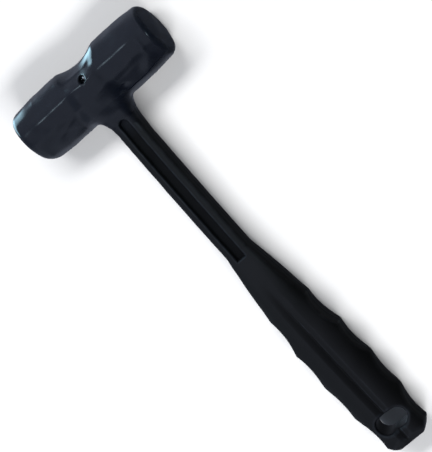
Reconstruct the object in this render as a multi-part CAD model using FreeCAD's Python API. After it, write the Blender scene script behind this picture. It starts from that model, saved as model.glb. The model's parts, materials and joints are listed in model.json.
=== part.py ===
"""Dead blow mallet: a moulded polymer jacket over a shot-filled steel canister and a steel core rod.

Every piece is drawn in the tool's own axes first: the head's axis is X, the handle runs along -Y,
and Z is the tool's front. Then the whole mallet is laid on its back on a bench, so that it rests on
the head's rear cheek and on the rear edge of the butt, with the origin at the bottom centre of its box.
"""
import FreeCAD
import Part

import math
import os

# ---- driving dimensions, in millimetres ----
HEAD_LENGTH = 106.3
BARREL_R = 19.45
FACE_R = 18.1
RIM_R = 4.0
TAPER_START = 33.3
TAPER_CROWN = 0.1
CHEEK_Z = 18.8
BEVEL_APOTHEM = 18.5
BEVEL_LEAN = math.radians(33.5)
WAIST_X = 1.2
WAIST_DEPTH = 3.6
WAIST_HALF = 14.2

SHANK_W = 16.9
SHANK_T = 17.0
SHANK_CORNER = 3.0
NECK_FILLET_R = 7.6
EYE_TOP = 4.0
EYE_T = 35.8
EYE_WALL_T = 25.6
SADDLE_HALF_W = 14.0
SADDLE_T = 26.0
SADDLE_CREST_W = 13.8
NECK_END = 40.0
FLARE_START = 131.5
FINGER_PITCH = 26.1
FIRST_RIDGE = 177.0
RIDGE_HALVES = (14.8, 17.4, 19.3, 18.7, 15.5)
SCALLOP_DEPTH = 2.6
BUTT_END = 287.4
BUTT_HALF = 9.4
GRIP_T = 25.0
GRIP_WALL_T = 13.0
GRIP_CREST_W = 9.0
GRIP_FULL_END = 263.0
BUTT_T = 22.0
BUTT_WALL_T = 12.0
TRIM = 0.5

RECESS_W = 5.6
RECESS_DEPTH = 3.3
RECESS_TOP = 27.2
RECESS_END = 135.8
CREASE_W = 9.6
CREASE_DEPTH = 2.0
CREASE_START = 152.0
CREASE_TIP_W = 1.2
CREASE_TIP_DEPTH = 0.1
SLOT_Y = 269.3
SLOT_W = 21.0
SLOT_H = 12.4

CANISTER_OD = 26.0
CANISTER_WALL = 1.5
TUBE_LENGTH = 80.0
CAP_FLANGE = 2.0
CAP_SPIGOT = 3.0
FILLER_D = 8.0
FILLER_HEAD_D = 12.0
FILLER_HEAD_T = 1.2

SHOT_D = 5.0
SHOT_GAP = 0.05
SHOT_OUTER_RING = 11
SHOT_INNER_RING = 4
SHOT_INNER_R = 3.6
SHOT_LAYERS = 10
SHOT_PITCH = 4.35

ROD_D = 7.0
ROD_COLLAR_D = 12.0
ROD_COLLAR_T = 3.0
ROD_COLLAR_Y = 186.0
ROD_SHOULDER = 242.0
ROD_THREAD_D = 6.0
ROD_END = 253.0
SOCKET_D = 12.0
SOCKET_END = 24.5
PIN_D = 3.0
PIN_BORE = 1.8
PIN_SLIT = 0.5
PIN_Y = 19.0
WASHER_D = 16.0
WASHER_T = 2.0
NUT_AF = 10.0
NUT_T = 5.0

LOCATOR_X = 2.1
LOCATOR_Y = 6.6
LOCATOR_HOLE_D = 5.0
STUD_D = 4.0
STUD_TOP = 13.0
STUD_DOME_R = 3.0

HALF_HEAD = HEAD_LENGTH / 2
CANISTER_R = CANISTER_OD / 2
CANISTER_BORE_R = CANISTER_R - CANISTER_WALL
CANISTER_HALF = TUBE_LENGTH / 2 + CAP_FLANGE
OVERSIZE = 60.0

X = FreeCAD.Vector(1, 0, 0)
Y = FreeCAD.Vector(0, 1, 0)
Z = FreeCAD.Vector(0, 0, 1)


def point(x, y, z=0.0):
    return FreeCAD.Vector(x, y, z)


def rod_x(radius, start, end, y=0.0):
    """A round bar along X from x = start to x = end."""
    return Part.makeCylinder(radius, end - start, point(start, y), X)


def rod_y(radius, top, bottom, x=0.0):
    """A round bar along the handle; top and bottom are distances below the head's axis."""
    return Part.makeCylinder(radius, bottom - top, point(x, -top), -Y)


def rod_z(radius, low, high, x=0.0, y=0.0):
    return Part.makeCylinder(radius, high - low, point(x, y, low), Z)


def extruded(edges, direction):
    return Part.Face(Part.Wire(edges)).extrude(direction)


def line(a, b):
    return Part.LineSegment(a, b).toShape()


def arc(a, through, b):
    return Part.Arc(a, through, b).toShape()


def polyline(points):
    """A closed outline of straight edges."""
    return [line(a, b) for a, b in zip(points, points[1:] + points[:1])]


# ---- head of the jacket ----
def head_barrel():
    """The barrel turned about X, with long round tapers to rounded striking faces."""
    rim_start = HALF_HEAD - RIM_R
    slope_r = (BARREL_R + FACE_R) / 2 + TAPER_CROWN
    inset = RIM_R * (1 - math.sqrt(0.5))
    half = [
        point(0, 0), point(0, BARREL_R), point(TAPER_START, BARREL_R),
        point((TAPER_START + rim_start) / 2, slope_r), point(rim_start, FACE_R),
        point(HALF_HEAD - inset, FACE_R - inset), point(HALF_HEAD, FACE_R - RIM_R),
        point(HALF_HEAD, 0),
    ]
    edges = [
        line(half[0], half[1]), line(half[1], half[2]), arc(half[2], half[3], half[4]),
        arc(half[4], half[5], half[6]), line(half[6], half[7]), line(half[7], half[0]),
    ]
    right = Part.Face(Part.Wire(edges)).revolve(point(0, 0), X, 360)
    left = right.mirror(point(0, 0), X)
    return right.fuse(left).removeSplitter()


def cheek_prism():
    """Six flats round the barrel: a cheek at front and back, and a bevel above and below each cheek."""
    reach = BARREL_R + 1
    cheek_half = (BEVEL_APOTHEM - CHEEK_Z * math.cos(BEVEL_LEAN)) / math.sin(BEVEL_LEAN)
    reach_z = (BEVEL_APOTHEM - reach * math.sin(BEVEL_LEAN)) / math.cos(BEVEL_LEAN)
    corners = [
        point(0, cheek_half, CHEEK_Z), point(0, reach, reach_z),
        point(0, reach, -reach_z), point(0, cheek_half, -CHEEK_Z),
        point(0, -cheek_half, -CHEEK_Z), point(0, -reach, -reach_z),
        point(0, -reach, reach_z), point(0, -cheek_half, CHEEK_Z),
    ]
    prism = extruded(polyline(corners), X * 2 * OVERSIZE)
    prism.translate(point(-OVERSIZE, 0))
    return prism


def waist_scoop():
    """The shallow round hollow across the top of the head, over the handle."""
    radius = (WAIST_HALF ** 2 + WAIST_DEPTH ** 2) / (2 * WAIST_DEPTH)
    return rod_z(radius, -OVERSIZE, OVERSIZE, WAIST_X, BARREL_R - WAIST_DEPTH + radius)


# ---- handle of the jacket ----
def handle_outline():
    """Front view: neck fillets, parallel shank, flare, finger scallops and cut butt corners."""
    half_shank = SHANK_W / 2
    neck_y = -BARREL_R
    fillet_end = neck_y - NECK_FILLET_R
    centre_x = half_shank + NECK_FILLET_R
    mid = NECK_FILLET_R * math.sqrt(0.5)
    ridges = [(half, -(FIRST_RIDGE + i * FINGER_PITCH)) for i, half in enumerate(RIDGE_HALVES)]

    def side(sign):
        def at(x, y):
            return point(sign * x, y)

        edges = [
            line(at(0, 0), at(centre_x, 0)),
            line(at(centre_x, 0), at(centre_x, neck_y)),
            arc(at(centre_x, neck_y), at(centre_x - mid, fillet_end + mid), at(half_shank, fillet_end)),
            line(at(half_shank, fillet_end), at(half_shank, -FLARE_START)),
            line(at(half_shank, -FLARE_START), at(*ridges[0])),
        ]
        for ridge_a, ridge_b in zip(ridges, ridges[1:]):
            valley = at((ridge_a[0] + ridge_b[0]) / 2 - SCALLOP_DEPTH, (ridge_a[1] + ridge_b[1]) / 2)
            edges.append(arc(at(*ridge_a), valley, at(*ridge_b)))
        edges.append(line(at(*ridges[-1]), at(BUTT_HALF, -BUTT_END)))
        edges.append(line(at(BUTT_HALF, -BUTT_END), at(0, -BUTT_END)))
        return edges

    outline = extruded(side(1) + side(-1)[::-1], Z * 2 * OVERSIZE)
    outline.translate(point(0, 0, -OVERSIZE))
    return outline


def handle_section(y, half_width, half_thick, wall, crest):
    """One cross-section of the handle: side walls, corner arcs and a flat crest at front and back."""
    bulge_x = crest + (half_width - crest) * math.sqrt(0.5)
    bulge_z = wall + (half_thick - wall) * math.sqrt(0.5)

    def corner(sx, sz):
        wall_end = point(sx * half_width, y, sz * wall)
        crest_end = point(sx * crest, y, sz * half_thick)
        return arc(wall_end, point(sx * bulge_x, y, sz * bulge_z), crest_end)

    edges = [
        corner(1, 1), line(point(crest, y, half_thick), point(-crest, y, half_thick)),
        corner(-1, 1), line(point(-half_width, y, wall), point(-half_width, y, -wall)),
        corner(-1, -1), line(point(-crest, y, -half_thick), point(crest, y, -half_thick)),
        corner(1, -1), line(point(half_width, y, -wall), point(half_width, y, wall)),
    ]
    return Part.Wire(Part.sortEdges(edges)[0])


def handle_body():
    """Rounded sections joined straight from one to the next, trimmed to the front view."""
    half_shank = SHANK_W / 2
    eye = (half_shank + NECK_FILLET_R, EYE_T / 2, EYE_WALL_T / 2, half_shank)
    saddle = (SADDLE_HALF_W, SADDLE_T / 2, SHANK_T / 2, SADDLE_CREST_W / 2)
    shank = (half_shank, SHANK_T / 2, SHANK_T / 2 - SHANK_CORNER, half_shank - SHANK_CORNER)
    grip_rest = (GRIP_T / 2, GRIP_WALL_T / 2, GRIP_CREST_W / 2)
    grip = (max(RIDGE_HALVES) + TRIM,) + grip_rest
    stations = [
        (-EYE_TOP, eye),
        (-BARREL_R, saddle),
        (-NECK_END, shank),
        (-FLARE_START, shank),
        (-FIRST_RIDGE, (RIDGE_HALVES[0] + TRIM,) + grip_rest),
        (-(FIRST_RIDGE + FINGER_PITCH), grip),
        (-GRIP_FULL_END, grip),
        (-BUTT_END, (RIDGE_HALVES[-1] + TRIM, BUTT_T / 2, BUTT_WALL_T / 2, GRIP_CREST_W / 2)),
    ]
    wires = [handle_section(y, *section) for y, section in stations]
    body = Part.makeLoft(wires, True, True)
    return body.common(handle_outline())


def mirrored_front_and_back(tool):
    return tool.fuse(tool.mirror(point(0, 0), Z))


def shank_recesses():
    """The long I-beam recess in the shank: round at the neck end, square at the grip end."""
    half = RECESS_W / 2
    floor_z = SHANK_T / 2 - RECESS_DEPTH
    run = Part.makeBox(
        RECESS_W, RECESS_END - RECESS_TOP - half, OVERSIZE, point(-half, -RECESS_END, floor_z)
    )
    top = rod_z(half, floor_z, floor_z + OVERSIZE, 0, -(RECESS_TOP + half))
    return mirrored_front_and_back(run.fuse(top))


def grip_creases():
    """The shallow V down the middle of the grip, which runs out towards the shank."""
    surface = GRIP_T / 2 + TRIM

    def vee(y, half, depth):
        corners = [point(-half, y, surface), point(0, y, surface - TRIM - depth), point(half, y, surface)]
        return Part.Wire(polyline(corners))

    thin = vee(-CREASE_START, CREASE_TIP_W / 2, CREASE_TIP_DEPTH)
    deep = vee(-SLOT_Y, CREASE_W / 2, CREASE_DEPTH)
    return mirrored_front_and_back(Part.makeLoft([thin, deep], True, True))


def lanyard_slot():
    """The obround slot right through the butt, with rounded ends across the handle."""
    radius = SLOT_H / 2
    reach = SLOT_W / 2 - radius
    block = Part.makeBox(2 * reach, SLOT_H, 2 * OVERSIZE, point(-reach, -SLOT_Y - radius, -OVERSIZE))
    ends = [rod_z(radius, -OVERSIZE, OVERSIZE, sign * reach, -SLOT_Y) for sign in (-1, 1)]
    return block.fuse(ends)


def locator_holes():
    """The two holes, front and back, where the mould held the canister."""
    hole = rod_z(LOCATOR_HOLE_D / 2, CANISTER_R / 2, OVERSIZE, LOCATOR_X, LOCATOR_Y)
    return mirrored_front_and_back(hole)


# ---- steel skeleton ----
def canister_envelope():
    return rod_x(CANISTER_R, -CANISTER_HALF, CANISTER_HALF)


def canister_tube():
    half = TUBE_LENGTH / 2
    return rod_x(CANISTER_R, -half, half).cut(rod_x(CANISTER_BORE_R, -half, half))


def canister_cap(side):
    """A turned cap: a flange on the end of the tube and a spigot inside it."""
    half = TUBE_LENGTH / 2
    flange = rod_x(CANISTER_R, half, half + CAP_FLANGE)
    spigot = rod_x(CANISTER_BORE_R, half - CAP_SPIGOT, half)
    cap = flange.fuse(spigot).removeSplitter()
    if side < 0:
        cap = cap.mirror(point(0, 0), X)
        cap = cap.cut(rod_x(FILLER_D / 2, -HALF_HEAD, 0))
    return cap


def filler_plug():
    """The headed plug that closes the hole that the shot is poured in through."""
    inner = -(TUBE_LENGTH / 2 - CAP_SPIGOT)
    shank = rod_x(FILLER_D / 2, -CANISTER_HALF, inner)
    head = rod_x(FILLER_HEAD_D / 2, -CANISTER_HALF - FILLER_HEAD_T, -CANISTER_HALF)
    return shank.fuse(head).removeSplitter()


def ring_of_shot(x, radius, count, turn):
    balls = []
    for i in range(count):
        angle = turn + 2 * math.pi * i / count
        centre = point(x, radius * math.cos(angle), radius * math.sin(angle))
        balls.append(Part.makeSphere(SHOT_D / 2, centre))
    return balls


def shot_charge():
    """Loose steel shot, gathered in layers across the bore, each layer turned half a step on the last."""
    outer_r = CANISTER_BORE_R - SHOT_GAP - SHOT_D / 2
    first = -(SHOT_LAYERS - 1) * SHOT_PITCH / 2
    balls = []
    for layer in range(SHOT_LAYERS):
        x = first + layer * SHOT_PITCH
        half_step = math.pi * (layer % 2)
        balls += ring_of_shot(x, outer_r, SHOT_OUTER_RING, half_step / SHOT_OUTER_RING)
        balls += ring_of_shot(x, SHOT_INNER_R, SHOT_INNER_RING, half_step / SHOT_INNER_RING)
    return Part.makeCompound(balls)


def cross_pin_hole():
    return rod_z(PIN_D / 2, -SOCKET_D, SOCKET_D, 0, -PIN_Y)


def rod_socket():
    """The boss welded to the canister, saddle-cut to it and bored for the rod."""
    boss = rod_y(SOCKET_D / 2, CANISTER_R / 2, SOCKET_END)
    boss = boss.cut(canister_envelope())
    return boss.cut(rod_y(ROD_D / 2, 0, SOCKET_END)).cut(cross_pin_hole())


def core_rod():
    """The round steel core, with one forged collar and a reduced threaded end."""
    shaft = rod_y(ROD_D / 2, CANISTER_R / 2, ROD_SHOULDER)
    collar = rod_y(ROD_COLLAR_D / 2, ROD_COLLAR_Y, ROD_COLLAR_Y + ROD_COLLAR_T)
    thread = rod_y(ROD_THREAD_D / 2, ROD_SHOULDER, ROD_END)
    rod = shaft.fuse([collar, thread]).removeSplitter()
    return rod.cut(canister_envelope()).cut(cross_pin_hole())


def socket_pin():
    """The slit spring pin that locks the rod in its socket."""
    half = math.sqrt((SOCKET_D / 2) ** 2 - (PIN_D / 2) ** 2)
    pin = rod_z(PIN_D / 2, -half, half, 0, -PIN_Y).cut(rod_z(PIN_BORE / 2, -half, half, 0, -PIN_Y))
    slit = Part.makeBox(PIN_D, PIN_SLIT, 2 * half, point(0, -PIN_Y - PIN_SLIT / 2, -half))
    return pin.cut(slit)


def anchor_washer():
    top = ROD_SHOULDER
    return rod_y(WASHER_D / 2, top, top + WASHER_T).cut(rod_y(ROD_THREAD_D / 2, top, top + WASHER_T))


def anchor_nut():
    top = ROD_SHOULDER + WASHER_T
    corner_r = NUT_AF / math.sqrt(3)
    corners = [
        point(corner_r * math.cos(math.radians(60 * i)), -top, corner_r * math.sin(math.radians(60 * i)))
        for i in range(6)
    ]
    return extruded(polyline(corners), -Y * NUT_T).cut(rod_y(ROD_THREAD_D / 2, top, top + NUT_T))


def locating_stud(side):
    """The domed stud on the canister's wall, at the bottom of a locator hole."""
    dome_r = STUD_DOME_R
    dome = Part.makeSphere(dome_r, point(LOCATOR_X, LOCATOR_Y, STUD_TOP - dome_r))
    shank = rod_z(STUD_D / 2, 0, STUD_TOP - dome_r, LOCATOR_X, LOCATOR_Y)
    core = rod_z(STUD_D / 2, 0, STUD_TOP, LOCATOR_X, LOCATOR_Y).common(dome.fuse(shank))
    stud = core.fuse(shank).removeSplitter().cut(canister_envelope())
    return stud if side > 0 else stud.mirror(point(0, 0), Z)


def solid_of(shape):
    """The one solid that a cut or a joined shape should be."""
    if len(shape.Solids) != 1:
        raise ValueError("expected one solid, found %d" % len(shape.Solids))
    return shape.Solids[0]


def outer_jacket(skeleton):
    """The one-shot moulding, hollow where the skeleton sits."""
    head = head_barrel().common(cheek_prism())
    jacket = head.fuse(handle_body()).cut(waist_scoop())
    for tool in (shank_recesses(), grip_creases(), lanyard_slot(), locator_holes()):
        jacket = jacket.cut(tool)
    for piece in [canister_envelope(), cross_pin_hole_filler()] + skeleton:
        jacket = jacket.cut(piece)
    return solid_of(jacket.removeSplitter())


def cross_pin_hole_filler():
    """The pin's full round, so that no moulding reaches into its bore."""
    half = SOCKET_D / 2
    return rod_z(PIN_D / 2, -half, half, 0, -PIN_Y)


# ---- laying the mallet on a bench ----
def bench_placement(jacket):
    """Turn about X until the head's rear and the butt's rear edge touch z = 0, then centre the box."""
    points = [v for v in jacket.tessellate(0.02)[0] if v.z < 0]
    head = [v for v in points if v.y > -BARREL_R]
    butt = [v for v in points if v.y < -SLOT_Y + SLOT_H]
    angle = 0.0
    for _ in range(20):
        turn = FreeCAD.Rotation(X, math.degrees(angle))
        low_head = min((turn.multVec(v) for v in head), key=lambda v: v.z)
        low_butt = min((turn.multVec(v) for v in butt), key=lambda v: v.z)
        angle -= (low_head.z - low_butt.z) / (low_head.y - low_butt.y)
    turn = FreeCAD.Rotation(X, math.degrees(angle))
    turned = [turn.multVec(v) for v in jacket.tessellate(0.02)[0]]
    low_z = min(v.z for v in turned)
    mid_y = (min(v.y for v in turned) + max(v.y for v in turned)) / 2
    return FreeCAD.Placement(point(0, -mid_y, -low_z), turn)


def main():
    skeleton = {
        "canister_tube": canister_tube(),
        "canister_cap_left": canister_cap(-1),
        "canister_cap_right": canister_cap(1),
        "filler_plug": filler_plug(),
        "rod_socket": rod_socket(),
        "core_rod": core_rod(),
        "socket_pin": socket_pin(),
        "anchor_washer": anchor_washer(),
        "anchor_nut": anchor_nut(),
        "locating_stud_front": locating_stud(1),
        "locating_stud_back": locating_stud(-1),
    }
    pieces = {name: solid_of(shape) for name, shape in skeleton.items()}
    pieces["outer_jacket"] = outer_jacket(list(pieces.values()))
    pieces["shot_charge"] = shot_charge()

    placement = bench_placement(pieces["outer_jacket"])
    os.makedirs("parts", exist_ok=True)
    for name, shape in pieces.items():
        shape.Placement = placement.multiply(shape.Placement)
        shape.exportStep("parts/%s.step" % name)
        print(name, "valid", shape.isValid(), "volume %.0f mm3" % shape.Volume)

    print("tilt about X, degrees:", round(math.degrees(placement.Rotation.Angle), 3))
    for label, local in (
        ("right face", point(HALF_HEAD, 0)),
        ("left face", point(-HALF_HEAD, 0)),
        ("slot centre", point(0, -SLOT_Y)),
        ("slot lip", point(0, -SLOT_Y, GRIP_T / 2)),
    ):
        print(label, [round(c, 3) for c in placement.multVec(local)])
    print("front direction", [round(c, 5) for c in placement.Rotation.multVec(Z)])


main()
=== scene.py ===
"""Dead blow mallet: the jacket's finished shape, the materials, the bench, the light and the camera.

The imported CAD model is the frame. The jacket is rebuilt here as one smooth moulding, meshed from a
function of place, because its facets, blends, finger scallops and soft dents are more than the plain
CAD solid holds. The steel inside keeps its CAD shapes and gets its own finishes. Lengths are in
metres, and the jacket's in millimetres.
"""
import json
import math

import bpy
import numpy as np
from mathutils import Matrix, Vector


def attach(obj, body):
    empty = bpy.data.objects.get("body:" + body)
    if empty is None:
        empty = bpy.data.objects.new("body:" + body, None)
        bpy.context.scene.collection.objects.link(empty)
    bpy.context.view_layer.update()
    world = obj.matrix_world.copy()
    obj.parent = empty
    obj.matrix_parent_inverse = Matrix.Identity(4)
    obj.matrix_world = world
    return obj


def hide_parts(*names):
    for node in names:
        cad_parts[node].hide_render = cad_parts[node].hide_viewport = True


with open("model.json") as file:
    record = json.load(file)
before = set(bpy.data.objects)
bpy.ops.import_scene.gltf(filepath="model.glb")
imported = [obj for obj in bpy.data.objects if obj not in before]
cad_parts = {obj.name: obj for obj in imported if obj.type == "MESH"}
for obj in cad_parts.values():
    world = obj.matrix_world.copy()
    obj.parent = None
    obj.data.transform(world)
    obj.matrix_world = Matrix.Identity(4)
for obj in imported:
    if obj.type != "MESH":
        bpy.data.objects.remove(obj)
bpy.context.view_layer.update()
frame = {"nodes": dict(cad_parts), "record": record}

# ---- the jacket's shape, as one function of place that is negative inside the moulding ----
# The tool's own axes, in millimetres: x along the head, s down the handle from the head's axis, z to
# the front. Names that end in R are radii, and a SPAN is where a change starts and where it ends.

# The head's barrel and striking faces. The left face's lower rim is worn rounder and leans.
HALF_HEAD = 53.15
BARREL_R = 19.45
CONE_START = 33.3
CONE_SLOPE = 0.062
CONE_CURVE = 0.0013
RIM_R = 3.2
RIM_R_WORN = 6.6
WORN_LEAN = 0.02
WORN_X_SPAN = (0.0, 20.0)
WORN_S_SPAN = (-12.0, 18.0)
FACE_CROWN_R = 320.0

# The cheeks at front and back, and the bevels above and below each. LOWER_TAPER leans the lower bevel
# in towards the ends. The edge of cheek and bevel is sharper next to the eye.
CHEEK_APOTHEM = 18.8
BEVEL_APOTHEM = 18.5
BEVEL_LEAN = math.radians(33.5)
FACET_R = 0.9
LOWER_TAPER = 0.02
EYE_X = -2.0
EYE_EDGE_SHARE = 0.25
EYE_EDGE_SPAN = (9.0, 16.0)

# The hollow across the top of the head, which fades out down the front and back.
WAIST_X = 1.2
WAIST_R = 30.0
WAIST_DEPTH = 3.6
WAIST_LIP = 0.9
WAIST_EDGE_R = 0.8
WAIST_TOP_ANGLE = math.radians(42)

# The handle: half widths, and half thicknesses named Z.
SLOT_S = 269.3
EYE_Z = 17.6
EYE_TOP = 11.0
SHANK_HALF = 8.45
SHANK_Z = 8.5
FLARE_START = 131.5
FIRST_RIDGE = 177.0
FINGER_PITCH = 26.1
RIDGE_HALVES = (14.8, 17.4, 19.3, 18.7, 15.5)
SCALLOP_DEPTH = 2.6
THROAT_OVAL = 14.5
GRIP_OVAL = 19.6
GRIP_Z = 12.5
BUTT_END = 287.4
BUTT_HALF = 9.4
BUTT_OVAL = 17.6
BUTT_Z = 11.2
BUTT_BEVEL_Z = 6.5
BUTT_BEVEL = (0.62, 0.78)
END_EDGE_R = 1.2
OUTLINE_EDGE_R = 1.3
BUTT_BEVEL_EDGE_R = 1.0
# Down to this s the handle lies in or beside the head, so its outline doesn't trim it.
NECK_END = 40.0
UNTRIMMED_HALF = 30.0
BOW_MIDDLE = 150.0
BOW_REACH = 112.0
BOW_DEPTH = 1.5
BOW_SHIFT = -0.4
NECK_SHIFT = 0.8
NECK_SHIFT_SPAN = (20.0, 45.0)
# The eye boss and neck: s, half width and half thickness.
NECK = (
    (-EYE_TOP, 8.0, 11.5),
    (-5.0, 9.5, EYE_Z - 1.2),
    (0.0, 11.5, EYE_Z),
    (8.0, 12.6, 17.0),
    (15.0, 13.2, 14.9),
    (21.0, 10.9, 11.8),
    (27.0, 9.0, 9.6),
    (33.0, SHANK_HALF, SHANK_Z),
)
# Where the grip's thickness and width reach their values.
GRIP_Z_END = SLOT_S - 20
THROAT_S = FIRST_RIDGE - 12
GRIP_OVAL_S = FIRST_RIDGE + 20
# How square the section is: s and the superellipse's power, where 2 is an ellipse.
SQUARENESS = ((20.0, 4.6), (33.0, 5.0), (FLARE_START, 5.0), (FIRST_RIDGE - 8, 2.15))

# The recess in the shank, the crease down the grip, and the lines that the mould left.
RECESS_HALF = 2.8
RECESS_DEPTH = 3.3
RECESS_TOP = 27.2
RECESS_END = 135.8
RECESS_DRAFT = 0.12
RECESS_FLOOR_R = 0.8
CREASE_HALF = 4.85
CREASE_DEPTH = 2.1
CREASE_START = 150.0
CREASE_GROWTH = 25
CREASE_FIRST_SHARE = 0.35
CREASE_POWER = 1.25
RECESS_DULL_SPAN = (0.15, 0.7)
CREASE_DULL_X = -2.0
CREASE_DULL_SHARE = 0.6
BEAD_X = 0.9
BEAD_HEIGHT = 0.2
BEAD_HALF = 0.5
BEAD_END_SPAN = (HALF_HEAD - 4.0, HALF_HEAD - 1.0)
GRIP_BEAD_HEIGHT = 0.32
GRIP_BEAD_SPAN = (FIRST_RIDGE - 10, FIRST_RIDGE + 15)

# The lanyard slot, and the locator holes down to the canister.
SLOT_HALF_W = 10.5
SLOT_HALF_H = 6.2
LOCATOR_X = 2.1
LOCATOR_S = -6.6
LOCATOR_R = 2.5
CANISTER_R = 13.0

# The fillet between handle and barrel, at the back and what the front adds, and the cut edges.
FILLET = 2.0
FILLET_FRONT = 3.0
FILLET_SPAN = (-16.0, -8.0)
RECESS_EDGE_R = 0.7
SLOT_EDGE_R = 2.2
LOCATOR_EDGE_R = 0.5

# Slow waves in the skin, larger on the head than on the handle, and none at the bench.
WAVE_HANDLE = 0.035
WAVE_HEAD_EXTRA = 0.06
HEAD_TO = 24
WAVE_Z_SPAN = (-14.0, -4.0)
# Each mark: place x and s, its two radii, how far its long side turns from x, and its depth.
MARKS = (
    (17.6, 12.6, 3.0, 1.3, 0.3, 0.7),
    (14.6, 15.0, 2.0, 0.9, 0.0, -0.35),
    (-8.5, 1.8, 3.0, 3.6, 0.5, -0.35),
    (24.0, 7.4, 9.5, 1.3, -0.03, 0.35),
    (39.0, 12.0, 6.0, 3.0, -0.3, -0.70),
    (-21.0, 14.5, 16.0, 4.8, 0.0, -1.0),
    (-27.0, 9.0, 9.0, 1.4, -0.2, -0.25),
    (-22.0, 13.0, 7.0, 1.4, 0.25, 0.35),
    (-36.0, 12.5, 5.0, 2.0, 0.1, -0.30),
    (43.0, 2.0, 1.6, 5.0, 0.1, -0.25),
)
MARK_Z_SPAN = (2.0, 8.0)


def both(a, b, k):
    """Smooth maximum: where a and b overlap, with an edge rounded over about k."""
    h = np.maximum(k - np.abs(a - b), 0.0) / k
    return np.maximum(a, b) + h * h * k * 0.25


def either(a, b, k):
    """Smooth minimum: a and b joined, with a fillet of about k."""
    return -both(-a, -b, k)


def rounded_edge(a, b, r):
    """Where a and b overlap, with their edge turned to the radius r."""
    u, w = a + r, b + r
    return np.minimum(np.maximum(u, w), 0.0) + np.hypot(np.maximum(u, 0.0), np.maximum(w, 0.0)) - r


def ramp(value, low, high):
    """0 below low, 1 above high, with a smooth rise between them."""
    t = np.clip((value - low) / (high - low), 0.0, 1.0)
    return t * t * (3.0 - 2.0 * t)


def barrel(x, y, z):
    """Round barrel with coned ends, cheeks and bevels at front and back, and a hollow across its top.

    y is up the tool, so it is -s."""
    ax = np.abs(x)
    radius = np.hypot(y, z)
    tapered = np.maximum(ax - CONE_START, 0.0)
    section = radius - (BARREL_R - CONE_SLOPE * tapered - CONE_CURVE * tapered**2)
    away_from_eye = ramp(np.abs(x - EYE_X), *EYE_EDGE_SPAN)
    edge_r = FACET_R * (EYE_EDGE_SHARE + (1.0 - EYE_EDGE_SHARE) * away_from_eye)
    section = both(section, np.abs(z) - CHEEK_APOTHEM, FACET_R)
    bevel = np.abs(y) * math.sin(BEVEL_LEAN) + np.abs(z) * math.cos(BEVEL_LEAN) - BEVEL_APOTHEM
    bevel = bevel + LOWER_TAPER * ax * (y < 0)
    section = both(section, bevel, edge_r)
    top = ramp(np.arctan2(y, np.abs(z)), 0.0, WAIST_TOP_ANGLE)
    off = x - WAIST_X
    waist = BARREL_R + WAIST_LIP - (WAIST_DEPTH + WAIST_LIP) * top + off * off / (2.0 * WAIST_R)
    section = both(section, radius - waist, WAIST_EDGE_R)
    worn = ramp(-x, *WORN_X_SPAN) * ramp(-y, *WORN_S_SPAN)
    crown = (y * y + z * z) / (2.0 * FACE_CROWN_R)
    face = ax - HALF_HEAD - WORN_LEAN * (x < 0) * (y - BARREL_R) + crown
    return rounded_edge(section, face, RIM_R + (RIM_R_WORN - RIM_R) * worn)


def bow(s):
    """The handle's middle wanders a little from the straight, as a long casting does."""
    away = (np.maximum(s, BOW_MIDDLE - BOW_REACH) - BOW_MIDDLE) / BOW_REACH
    return BOW_SHIFT - BOW_DEPTH * (1.0 - away**2) + NECK_SHIFT * (1.0 - ramp(s, *NECK_SHIFT_SPAN))


def outline_half(s):
    """The handle's half width in front view: shank, straight flare, then round finger scallops."""
    ridge_s = [FIRST_RIDGE + i * FINGER_PITCH for i in range(len(RIDGE_HALVES))]
    ends = [SHANK_HALF] + list(RIDGE_HALVES) + [BUTT_HALF]
    half = np.interp(s, [FLARE_START] + ridge_s + [BUTT_END], ends)
    turn = (s - FIRST_RIDGE) / FINGER_PITCH
    phase = turn - np.floor(turn)
    gripped = (turn > 0) & (turn < len(RIDGE_HALVES) - 1)
    return half - np.where(gripped, SCALLOP_DEPTH * 4.0 * phase * (1.0 - phase), 0.0)


def crease_depth(x, s):
    """The soft V down the middle of the grip, with the thin bead of the mould's parting line in it."""
    grown = ramp(s, CREASE_START, FIRST_RIDGE + 2 * FINGER_PITCH)
    vee = np.maximum(1.0 - np.abs(x) / CREASE_HALF, 0.0)
    bead = GRIP_BEAD_HEIGHT * np.exp(-(((x - BEAD_X) / BEAD_HALF) ** 2)) * ramp(s, *GRIP_BEAD_SPAN)
    depth = CREASE_DEPTH * (CREASE_FIRST_SHARE + (1.0 - CREASE_FIRST_SHARE) * grown)
    return depth * ramp(s, CREASE_START, CREASE_START + CREASE_GROWTH) * vee**CREASE_POWER - bead


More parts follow.
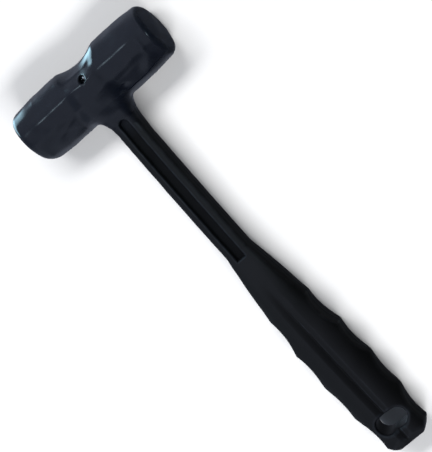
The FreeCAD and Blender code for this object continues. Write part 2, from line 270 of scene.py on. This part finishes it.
def handle(x, s, z):
    """Eye boss, neck, shank and grip: one superellipse section that changes along the handle."""
    az = np.abs(z)
    neck_s, neck_half, neck_z = (list(column) for column in zip(*NECK))
    z_at = neck_s + [FLARE_START, FIRST_RIDGE, GRIP_Z_END, BUTT_END]
    half_z = np.interp(s, z_at, neck_z + [SHANK_Z, GRIP_Z, GRIP_Z, BUTT_Z])
    x_at = neck_s + [FLARE_START, THROAT_S, GRIP_OVAL_S, BUTT_END]
    half_x = np.interp(s, x_at, neck_half + [SHANK_HALF, THROAT_OVAL, GRIP_OVAL, BUTT_OVAL])
    power = np.interp(s, *zip(*SQUARENESS))
    lifted = az + crease_depth(x, s)
    ratio = ((np.abs(x) / half_x) ** power + (lifted / half_z) ** power) ** (1.0 / power)
    section = (ratio - 1.0) * np.minimum(half_x, half_z)
    trim = np.maximum(outline_half(s), np.where(s < NECK_END, UNTRIMMED_HALF, 0.0))
    section = both(section, np.abs(x) - trim, OUTLINE_EDGE_R)
    body = both(section, np.maximum(s - BUTT_END, -EYE_TOP - s), END_EDGE_R)
    butt_bevel = (s - BUTT_END) * BUTT_BEVEL[0] + (az - BUTT_BEVEL_Z) * BUTT_BEVEL[1]
    return both(body, butt_bevel, BUTT_BEVEL_EDGE_R)


def recess(x, s, z):
    """The long pocket that makes the shank an I beam: round end at the neck, square end at the grip."""
    start = RECESS_TOP + RECESS_HALF
    top = np.hypot(x, np.minimum(s - start, 0.0)) - RECESS_HALF
    side = np.maximum(np.abs(x) - RECESS_HALF, s - RECESS_END)
    plan = np.where(s < start, top, side)
    draft = RECESS_DRAFT * (np.abs(z) - SHANK_Z + RECESS_DEPTH)
    return both(plan - draft, SHANK_Z - RECESS_DEPTH - np.abs(z), RECESS_FLOOR_R)


def slot(x, s):
    """The obround lanyard slot through the butt."""
    reach = SLOT_HALF_W - SLOT_HALF_H
    return np.hypot(np.maximum(np.abs(x) - reach, 0.0), s - SLOT_S) - SLOT_HALF_H


def locator(x, s, z):
    """The mould's locating-pin holes, front and back, down to the canister."""
    depth = math.sqrt(CANISTER_R**2 - LOCATOR_S**2) - np.abs(z)
    return np.maximum(np.hypot(x - LOCATOR_X, s - LOCATOR_S) - LOCATOR_R, depth)


def unevenness(x, s, z):
    """Slow waves of about a tenth of a millimetre, as a thick casting has where it shrinks."""
    waves = (
        np.sin(0.21 * x + 0.13 * s + 1.0) * np.cos(0.17 * z - 0.11 * s)
        + 0.8 * np.sin(0.33 * s - 0.19 * x + 2.1) * np.cos(0.29 * z + 0.23 * x)
        + 0.5 * np.sin(0.51 * x + 0.37 * z + 0.7) * np.sin(0.43 * s + 0.3)
    )
    return waves * (WAVE_HANDLE + WAVE_HEAD_EXTRA * (s < HEAD_TO)) * ramp(z, *WAVE_Z_SPAN)


def parting_bead(x, z):
    """The thin line that the mould's halves left round the flanks, worn away at the striking faces."""
    worn_away = ramp(np.abs(x), *BEAD_END_SPAN)
    return BEAD_HEIGHT * np.exp(-((z / BEAD_HALF) ** 2)) * (1.0 - worn_away)


def marks(x, s, z):
    """Soft dents (above zero) and swellings (below zero) that the mould left in the head and neck."""
    depth = 0.0
    for at_x, at_s, long_r, wide_r, turn, amount in MARKS:
        u = (x - at_x) * math.cos(turn) + (s - at_s) * math.sin(turn)
        w = (s - at_s) * math.cos(turn) - (x - at_x) * math.sin(turn)
        depth = depth + amount * np.exp(-((u / long_r) ** 2) - (w / wide_r) ** 2)
    return depth * ramp(z, *MARK_Z_SPAN)


def hollowness(x, s, z):
    """1 in the shank's recess, less down the grip's crease, and 0 where hands rub it smooth."""
    middle = x - bow(s)
    in_recess = 1.0 - ramp(recess(middle, s, z), *RECESS_DULL_SPAN)
    down_grip = ramp(s, CREASE_START, CREASE_START + CREASE_GROWTH)
    in_crease = down_grip * (1.0 - ramp(np.abs(middle - CREASE_DULL_X), 0.0, CREASE_HALF))
    return np.maximum(in_recess, CREASE_DULL_SHARE * in_crease)


def jacket_field(x, s, z):
    """Below zero inside the moulding, above zero outside, and a distance in mm close to the skin."""
    middle = x - bow(s)
    fillet = FILLET + FILLET_FRONT * ramp(z, *FILLET_SPAN)
    body = either(barrel(x, -s, z), handle(middle, s, z), fillet) - parting_bead(x, z)
    body = both(body, -recess(middle, s, z), RECESS_EDGE_R)
    body = both(body, -slot(middle, s), SLOT_EDGE_R)
    body = both(body, -locator(x, s, z), LOCATOR_EDGE_R)
    return body + unevenness(x, s, z) + marks(x, s, z)


# ---- from the function to a mesh ----
GRID_STEP = 0.7
GRID_LOW = (-56.0, -23.1, -23.45)
GRID_HIGH = (56.0, 289.1, 23.45)
GRID_SLAB = 24
GRIP_REACH = 22.8
SLOPE_PROBE = 0.05
BEND_PROBE = 0.9
SETTLE_ROUNDS = 3
LEAST_STEEP = 0.25
LARGEST_MOVE = 0.4
TINY = 1e-6


def central_differences(field, points, probe):
    """The field a probe ahead of each point and a probe behind it, along each axis."""
    return [(field(*(points + probe * unit).T), field(*(points - probe * unit).T)) for unit in np.eye(3)]


def slope_of(field, points, probe):
    """The direction in which the field rises, outwards from the moulding."""
    pairs = central_differences(field, points, probe)
    return np.stack([(ahead - behind) / (2 * probe) for ahead, behind in pairs], axis=1)


def bend_of(field, points, probe):
    """How sharply the surface turns outwards, in 1/mm: above zero on ridges, below zero in hollows."""
    middle = field(*points.T)
    pairs = central_differences(field, points, probe)
    return sum((ahead + behind - 2 * middle) / probe**2 for ahead, behind in pairs)


def sampled(field, low, high, step, reach):
    """The field on a grid of corners. Slabs of s below the head are only worked out near the handle."""
    axes = [np.arange(a, b + step, step, dtype=np.float32) for a, b in zip(low, high)]
    grid = np.ones([len(a) for a in axes], dtype=np.float32)
    near = np.abs(axes[0]) < reach
    for first in range(0, len(axes[1]), GRID_SLAB):
        part = axes[1][first:first + GRID_SLAB]
        keep = near if part[0] > NECK_END else np.ones_like(near)
        x, s, z = np.meshgrid(axes[0][keep], part, axes[2], indexing="ij")
        grid[keep, first:first + GRID_SLAB] = field(x, s, z)
    return grid, axes


def surface_net(grid, axes):
    """One vertex for each cell that the surface crosses, and one quad for each grid edge it cuts."""
    inside = grid < 0
    shape = [n - 1 for n in grid.shape]
    total = np.zeros(shape + [3], dtype=np.float32)
    hits = np.zeros(shape, dtype=np.float32)
    quads = []
    for axis in range(3):
        near = tuple(slice(None, -1) if i == axis else slice(None) for i in range(3))
        far = tuple(slice(1, None) if i == axis else slice(None) for i in range(3))
        cut = np.argwhere(inside[near] != inside[far])
        ahead = cut.copy()
        ahead[:, axis] += 1
        a, b = grid[tuple(cut.T)], grid[tuple(ahead.T)]
        place = cut.astype(np.float32)
        place[:, axis] += a / (a - b)
        one, two = [i for i in range(3) if i != axis]
        sides = cut[:, [one, two]]
        inner = np.all((sides > 0) & (sides < np.array(shape)[[one, two]]), axis=1)
        cut, place, a = cut[inner], place[inner], a[inner]
        ring = []
        for step_one, step_two in ((0, 0), (1, 0), (1, 1), (0, 1)):
            cell = cut.copy()
            cell[:, one] -= step_one
            cell[:, two] -= step_two
            np.add.at(total, tuple(cell.T), place)
            np.add.at(hits, tuple(cell.T), 1.0)
            ring.append(np.ravel_multi_index(tuple(cell.T), shape))
        ring = np.stack(ring, axis=1)
        flip = (a < 0) ^ (axis == 1)
        quads.append(np.where(flip[:, None], ring, ring[:, ::-1]))
    used = np.flatnonzero(hits.ravel())
    index = np.full(hits.size, -1)
    index[used] = np.arange(len(used))
    place = total.reshape(-1, 3)[used] / hits.ravel()[used, None]
    start = np.array([a[0] for a in axes])
    pitch = np.array([a[1] - a[0] for a in axes])
    return start + place * pitch, index[np.concatenate(quads)]


def settled(field, points):
    """Moves each vertex onto the surface along the field's slope."""
    for _ in range(SETTLE_ROUNDS):
        value = field(*points.T)
        slope = slope_of(field, points, SLOPE_PROBE)
        steep = np.maximum(np.sum(slope * slope, axis=1), LEAST_STEEP)
        move = -(value / steep)[:, None] * slope
        length = np.linalg.norm(move, axis=1)[:, None]
        points = points + move * np.minimum(1.0, LARGEST_MOVE / np.maximum(length, TINY))
    return points


# ---- placing the mesh on the bench ----
MM = 0.001


def bench_axes():
    """The head's middle, and the directions of x, s and z, from the record's mounts."""
    mounts = {m["name"]: m for m in frame["record"]["mounts"]}
    right = Vector(mounts["strike_face_right"]["pos_m"])
    left = Vector(mounts["strike_face_left"]["pos_m"])
    across = (right - left).normalized()
    front = Vector(mounts["lanyard_slot"]["axis"]).normalized()
    down = across.cross(front) * -1
    if down.y > 0:
        down = -down
    return (right + left) / 2, across, down, front


def add_numbers(mesh, name, values):
    """Gives the mesh one number for each vertex, for its material to read."""
    mesh.attributes.new(name, "FLOAT", "POINT").data.foreach_set("value", values.astype(np.float32))


def build_jacket():
    """The jacket's mesh on the bench, with exact normals and the numbers for its edge wear, painted
    ridge highlight and dullness.
    """
    grid, axes = sampled(jacket_field, GRID_LOW, GRID_HIGH, GRID_STEP, GRIP_REACH)
    points, quads = surface_net(grid, axes)
    points = settled(jacket_field, points)
    normals = slope_of(jacket_field, points, SLOPE_PROBE)
    normals /= np.linalg.norm(normals, axis=1)[:, None]
    bend = bend_of(jacket_field, points, BEND_PROBE)

    centre, across, down, front = bench_axes()
    turn = np.array([across, down, front])
    placed = np.array(centre) + (points * MM) @ turn
    mesh = bpy.data.meshes.new("jacket")
    mesh.from_pydata(placed.tolist(), [], quads[:, ::-1].tolist())
    mesh.polygons.foreach_set("use_smooth", [True] * len(mesh.polygons))
    mesh.normals_split_custom_set_from_vertices((normals @ turn).tolist())
    add_numbers(mesh, "ridge", np.clip(bend, -1.0, 1.0))
    add_numbers(mesh, "hollow", hollowness(*points.T))
    jacket = bpy.data.objects.new("jacket", mesh)
    bpy.context.scene.collection.objects.link(jacket)
    return jacket


jacket = build_jacket()
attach(jacket, "mallet")
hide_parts("outer_jacket")


# ---- materials ----
# Colours are linear. A pair is the two ends that noise moves between.
HEAD_COLOURS = ((0.0050, 0.0080, 0.0160, 1), (0.0080, 0.0124, 0.0230, 1))
HANDLE_COLOURS = ((0.0024, 0.0020, 0.0018, 1), (0.0046, 0.0040, 0.0038, 1))
# A lighter colour for scuffed edges, which is also a painted highlight along the head's ridge lines.
SCUFF_AND_HIGHLIGHT_COLOUR = (0.034, 0.040, 0.047, 1)
HEAD_ROUGHNESS = (0.15, 0.22)
HANDLE_ROUGHER = 0.30
HOLLOW_ROUGHER = 0.34
# The head's gloss turns to the handle's satin between these distances down the tool, in metres.
SATIN_FROM, SATIN_TO = 0.022, 0.040
# Edges scuff, and get a painted highlight, from the first of these bends in 1/mm, and fully at the
# second.
SCUFF_AND_HIGHLIGHT_BEND = (0.15, 0.6)
SCUFF_AND_HIGHLIGHT_SHARE = (0.25, 0.85)
GRAIN_DEPTH = 0.00006
HEAD_GRAIN_SHARE = 0.25
STEEL_GRAIN_DEPTH = 0.00003
STEEL_DARK_SHARE = 0.75
STEEL_ROUGHNESS_SHARES = (0.75, 1.3)
NOISE_MIDDLE = (0.35, 0.65)
STEEL_NOISE_MIDDLE = (0.3, 0.7)


def feed(links, socket, value):
    """Joins a node's output to the socket, or sets the socket to a plain value."""
    if isinstance(value, bpy.types.NodeSocket):
        links.new(value, socket)
    else:
        socket.default_value = value


def add_node(nodes, links, kind, inputs=(), output=0, **settings):
    """Adds a node with its settings and inputs, and gives back one of its outputs."""
    made = nodes.new("ShaderNode" + kind)
    for key, value in settings.items():
        setattr(made, key, value)
    for key, value in dict(inputs).items():
        feed(links, made.inputs[key], value)
    return made.outputs[output]


class Shader:
    """A material's node tree, with short calls to add nodes and join them."""

    def __init__(self, name):
        self.material = bpy.data.materials.new(name)
        self.material.use_nodes = True
        self.nodes = self.material.node_tree.nodes
        self.links = self.material.node_tree.links
        self.bsdf = self.nodes["Principled BSDF"]
        self.place = self.nodes.new("ShaderNodeTexCoord").outputs["Object"]

    def set(self, socket, value):
        """Sets one of the shader's sockets, or joins a node to it."""
        feed(self.links, self.bsdf.inputs[socket], value)

    def node(self, kind, inputs=(), output=0, **settings):
        return add_node(self.nodes, self.links, kind, inputs, output, **settings)

    def noise(self, per_metre, detail=3.0, rough=0.5, stretch=(1, 1, 1)):
        """Noise from 0 to 1, mostly near the middle."""
        place = self.node("Mapping", {"Vector": self.place, "Scale": stretch})
        inputs = {"Vector": place, "Scale": per_metre, "Detail": detail, "Roughness": rough}
        return self.node("TexNoise", inputs)

    def remap(self, value, low, high, out_low=0.0, out_high=1.0):
        """Turns low to high into out_low to out_high, and stops at both ends."""
        return self.node("MapRange", {
            "Value": value, "From Min": low, "From Max": high, "To Min": out_low, "To Max": out_high,
        })

    def maths(self, how, a, b=0.0):
        return self.node("Math", {0: a, 1: b}, operation=how)

    def mix(self, amount, a, b):
        """Colours a and b mixed by amount. The numbers are the Mix node's colour sockets."""
        return self.node("Mix", {0: amount, 6: a, 7: b}, 2, data_type="RGBA")

    def bump(self, height, distance, strength):
        return self.node("Bump", {"Height": height, "Distance": distance, "Strength": strength})


def jacket_material():
    """Blue-black cast polymer: glossy and a little mottled on the head, satin on the handle."""
    s = Shader("jacket_polymer")
    centre, across, down, front = bench_axes()
    along = s.node("VectorMath", {0: s.place, 1: tuple(down)}, "Value", operation="DOT_PRODUCT")
    zero = centre.dot(down)
    handle_share = s.remap(along, zero + SATIN_FROM, zero + SATIN_TO)
    mottle = s.noise(48.0, detail=4.0, rough=0.55)
    colour = s.mix(handle_share, s.mix(mottle, *HEAD_COLOURS), s.mix(mottle, *HANDLE_COLOURS))
    ridge = s.node("Attribute", attribute_name="ridge", output="Fac")
    # Edges are painted lighter: partly real scuffing, partly a painted highlight along the ridge lines.
    scuff_and_highlight_noise = s.remap(s.noise(220.0, rough=0.6), *NOISE_MIDDLE, *SCUFF_AND_HIGHLIGHT_SHARE)
    scuff_and_highlight_mask = s.maths("MULTIPLY", s.remap(ridge, *SCUFF_AND_HIGHLIGHT_BEND), scuff_and_highlight_noise)
    s.set("Base Color", s.mix(scuff_and_highlight_mask, colour, SCUFF_AND_HIGHLIGHT_COLOUR))
    hollow = s.node("Attribute", attribute_name="hollow", output="Fac")
    rough = s.remap(mottle, *NOISE_MIDDLE, *HEAD_ROUGHNESS)
    rough = s.maths("ADD", rough, s.maths("MULTIPLY", handle_share, HANDLE_ROUGHER))
    rough = s.maths("ADD", rough, s.maths("MULTIPLY", hollow, HOLLOW_ROUGHER))
    s.set("Roughness", rough)
    s.set("Specular IOR Level", 0.5)
    grain_share = s.remap(handle_share, 0.0, 1.0, HEAD_GRAIN_SHARE, 1.0)
    grain = s.maths("MULTIPLY", s.noise(1500.0, detail=2.0, rough=0.6), grain_share)
    s.set("Normal", s.bump(grain, GRAIN_DEPTH, 0.6))
    return s.material


def steel_material(name, colour, rough, stretch=(1, 1, 1)):
    """Steel with soft clouds in its colour and a fine grain. stretch is under 1 along the grain."""
    s = Shader(name)
    grain = s.noise(900.0, rough=0.6, stretch=stretch)
    cloud = s.noise(60.0)
    dark = tuple(STEEL_DARK_SHARE * c for c in colour) + (1,)
    s.set("Base Color", s.mix(cloud, dark, colour + (1,)))
    s.set("Metallic", 1.0)
    smoothest, roughest = (rough * share for share in STEEL_ROUGHNESS_SHARES)
    s.set("Roughness", s.remap(grain, *STEEL_NOISE_MIDDLE, smoothest, roughest))
    s.set("Normal", s.bump(grain, STEEL_GRAIN_DEPTH, 0.4))
    return s.material


def finish_node(node, material):
    """Gives a carried-over CAD node its procedural material."""
    mesh = frame["nodes"][node].data
    mesh.materials.clear()
    mesh.materials.append(material)


jacket.data.materials.append(jacket_material())
STEEL_PARTS = (
    (steel_material("drawn_steel", (0.42, 0.42, 0.43), 0.38, (0.08, 1, 1)),
     ("canister_tube", "canister_cap_left", "canister_cap_right", "rod_socket")),
    (steel_material("rolled_steel", (0.26, 0.26, 0.27), 0.5, (1, 0.08, 1)), ("core_rod",)),
    (steel_material("zinc_plate", (0.60, 0.61, 0.63), 0.24),
     ("filler_plug", "socket_pin", "anchor_washer", "anchor_nut",
      "locating_stud_front", "locating_stud_back")),
    (steel_material("tumbled_shot", (0.36, 0.36, 0.37), 0.42), ("shot_charge",)),
)
for steel, node_names in STEEL_PARTS:
    for node_name in node_names:
        finish_node(node_name, steel)


# ---- bench, light and camera ----
FLOOR_HALF = 3.0
FLOOR_GREY = 0.45
TARGET = Vector((0.0, 0.0, 0.015))
HEAD = (-0.01, 0.14, 0.02)
RIGHT_RIM = (0.047, 0.14, 0.03)
HIGHLIGHT_BLUE = (0.66, 0.87, 1.0)
WHITE = (1.0, 1.0, 1.0)
# The lamps that light only the mallet: name, place, size, watts, aim and spread.
HIGHLIGHTS = (
    ("ridge_light", (-0.45, 0.80, 1.19), (0.25, 0.25), 0.03, HEAD, 0.6),
    ("rim_light", (0.75, 0.20, 1.30), (0.30, 0.30), 0.02, RIGHT_RIM, 0.12),
)
# The lamps that light only the floor, beyond the butt and beyond the head.
FLOOR_LIGHTS = (
    ("floor_light_butt", (0.0, -1.15, 1.64)),
    ("floor_light_head", (0.0, 1.15, 1.64)),
)
FLOOR_LIGHT_SIZE = (1.6, 0.5)
FLOOR_LIGHT_WATTS = 56.0
# The dome's colours: x, red, green and blue.
DOME = (
    (-1.0, 0.18, 0.20, 0.24),
    (-0.6, 0.27, 0.30, 0.37),
    (-0.3, 0.43, 0.47, 0.58),
    (0.0, 0.41, 0.45, 0.55),
    (0.25, 0.16, 0.175, 0.21),
    (0.5, 0.08, 0.085, 0.10),
    (1.0, 0.03, 0.035, 0.04),
)
WINDOW_TOWARDS = Vector((-0.72, 0.69, 0.0))
WINDOW_COLOUR = (3.6, 5.8, 7.0)
# The window is looked for in directions flattened by this, which makes it tall.
WINDOW_FLATTEN = (1.0, 1.0, 0.35)
# Cosines of the angles from its middle at which the window starts and is full.
WINDOW_EDGE = (0.905, 0.96)
# Heights of the direction at which the window ends and is full.
WINDOW_TOP = (0.16, 0.04)
# The dome is dimmed to BELOW_SHARE between these heights of the direction.
BELOW_SPAN = (-0.95, -0.55)
BELOW_SHARE = 0.35
# Beyond the butt, the dome's dark side reaches round by up to BUTT_SHIFT in x.
BUTT_SPAN = (-0.3, -1.0)
BUTT_SHIFT = 0.55


def floor():
    """The pale bench top. Reflections on the mallet leave it out, so that its underside stays dark."""
    mesh = bpy.data.meshes.new("floor")
    corners = [(x * FLOOR_HALF, y * FLOOR_HALF, 0) for x, y in ((-1, -1), (1, -1), (1, 1), (-1, 1))]
    mesh.from_pydata(corners, [], [(0, 1, 2, 3)])
    ground = bpy.data.objects.new("floor", mesh)
    bpy.context.scene.collection.objects.link(ground)
    s = Shader("pale_floor")
    s.set("Base Color", (FLOOR_GREY, FLOOR_GREY, FLOOR_GREY, 1))
    s.set("Roughness", 0.85)
    s.set("Specular IOR Level", 0.1)
    mesh.materials.append(s.material)
    ground.visible_glossy = False
    return ground


def area_light(name, place, size, watts, colour, aim=TARGET, spread=math.pi):
    """A flat rectangular lamp at place, facing aim. A small spread makes a narrow, bright beam."""
    data = bpy.data.lights.new(name, "AREA")
    data.shape = "RECTANGLE"
    data.size, data.size_y = size
    data.energy = watts
    data.color = colour
    lamp = bpy.data.objects.new(name, data)
    lamp.location = place
    lamp.rotation_mode = "QUATERNION"
    lamp.rotation_quaternion = (Vector(aim) - Vector(place)).to_track_quat("-Z", "Y")
    data.spread = spread
    bpy.context.scene.collection.objects.link(lamp)
    return lamp


def sky():
    """A soft dome, bright at the tool's left and overhead, and dark at its right, beyond the butt and
    straight below. A tall soft window glows low down beyond the head, to the left."""
    world = bpy.data.worlds.new("studio")
    bpy.context.scene.world = world
    world.use_nodes = True
    nodes, links = world.node_tree.nodes, world.node_tree.links

    def node(kind, inputs, output=0, **settings):
        return add_node(nodes, links, kind, inputs, output, **settings)

    def change(value, start, end, low=0.0, high=1.0, **settings):
        ends = {"From Min": start, "From Max": end, "To Min": low, "To Max": high}
        return node("MapRange", {"Value": value, **ends}, **settings)

    def vector(how, a, b, output=0):
        return node("VectorMath", {0: a, 1: b}, output, operation=how)

    direction = nodes.new("ShaderNodeTexCoord").outputs["Generated"]
    split = nodes.new("ShaderNodeSeparateXYZ")
    links.new(direction, split.inputs[0])
    x, y, z = split.outputs
    across = node("Math", {0: x, 1: change(y, *BUTT_SPAN, high=BUTT_SHIFT)})
    dome = nodes.new("ShaderNodeValToRGB")
    links.new(change(across, -1.0, 1.0), dome.inputs["Fac"])
    dome.color_ramp.interpolation = "EASE"
    elements = dome.color_ramp.elements
    while len(elements) < len(DOME):
        elements.new(0.5)
    for element, (at_x, *colour) in zip(elements, DOME):
        element.position = (at_x + 1) / 2
        element.color = (*colour, 1)
    not_below = change(z, *BELOW_SPAN, low=BELOW_SHARE)
    dome_light = node("VectorMath", {0: dome.outputs["Color"], "Scale": not_below}, operation="SCALE")

    flat = node("VectorMath", {0: vector("MULTIPLY", direction, WINDOW_FLATTEN)}, operation="NORMALIZE")
    facing = vector("DOT_PRODUCT", flat, tuple(WINDOW_TOWARDS.normalized()), "Value")
    in_width = change(facing, *WINDOW_EDGE, interpolation_type="SMOOTHSTEP")
    in_height = change(z, *WINDOW_TOP, interpolation_type="SMOOTHSTEP")
    window = node("Math", {0: in_width, 1: in_height}, operation="MULTIPLY")
    window_light = vector("MULTIPLY", window, WINDOW_COLOUR)
    links.new(vector("ADD", dome_light, window_light), nodes["Background"].inputs["Color"])


def lights_only(lamp, *objects):
    """The lamp lights just these objects."""
    receivers = bpy.data.collections.new(lamp.name + "_lights")
    for item in objects:
        receivers.objects.link(item)
    lamp.light_linking.receiver_collection = receivers


def camera():
    """Looks down on the bench from the tool's right, with the handle running down to the right."""
    roll, pitch, yaw = math.radians(41.784), math.radians(2.447), math.radians(-17.5)
    offset = Vector((16.925, -14.651, -1348.1)) * MM
    turn = Matrix.Rotation(roll, 3, "Z") @ Matrix.Rotation(pitch, 3, "X") @ Matrix.Rotation(yaw, 3, "Y")
    data = bpy.data.cameras.new("camera")
    data.sensor_fit = "HORIZONTAL"
    data.sensor_width = 36.0
    data.lens = 186.82
    data.clip_start, data.clip_end = 0.05, 50.0
    eye = bpy.data.objects.new("camera", data)
    back = turn.transposed()
    eye.matrix_world = Matrix.Translation(TARGET - back @ offset) @ back.to_4x4()
    bpy.context.scene.collection.objects.link(eye)
    bpy.context.scene.camera = eye


ground = floor()
sky()
mallet = [jacket] + [frame["nodes"][name] for name in frame["nodes"]]
for name, place, size, watts, aim, spread in HIGHLIGHTS:
    lights_only(area_light(name, place, size, watts, HIGHLIGHT_BLUE, aim, spread), *mallet)
for name, place in FLOOR_LIGHTS:
    lights_only(area_light(name, place, FLOOR_LIGHT_SIZE, FLOOR_LIGHT_WATTS, WHITE), ground)
camera()
bpy.context.scene.view_settings.view_transform = "Standard"
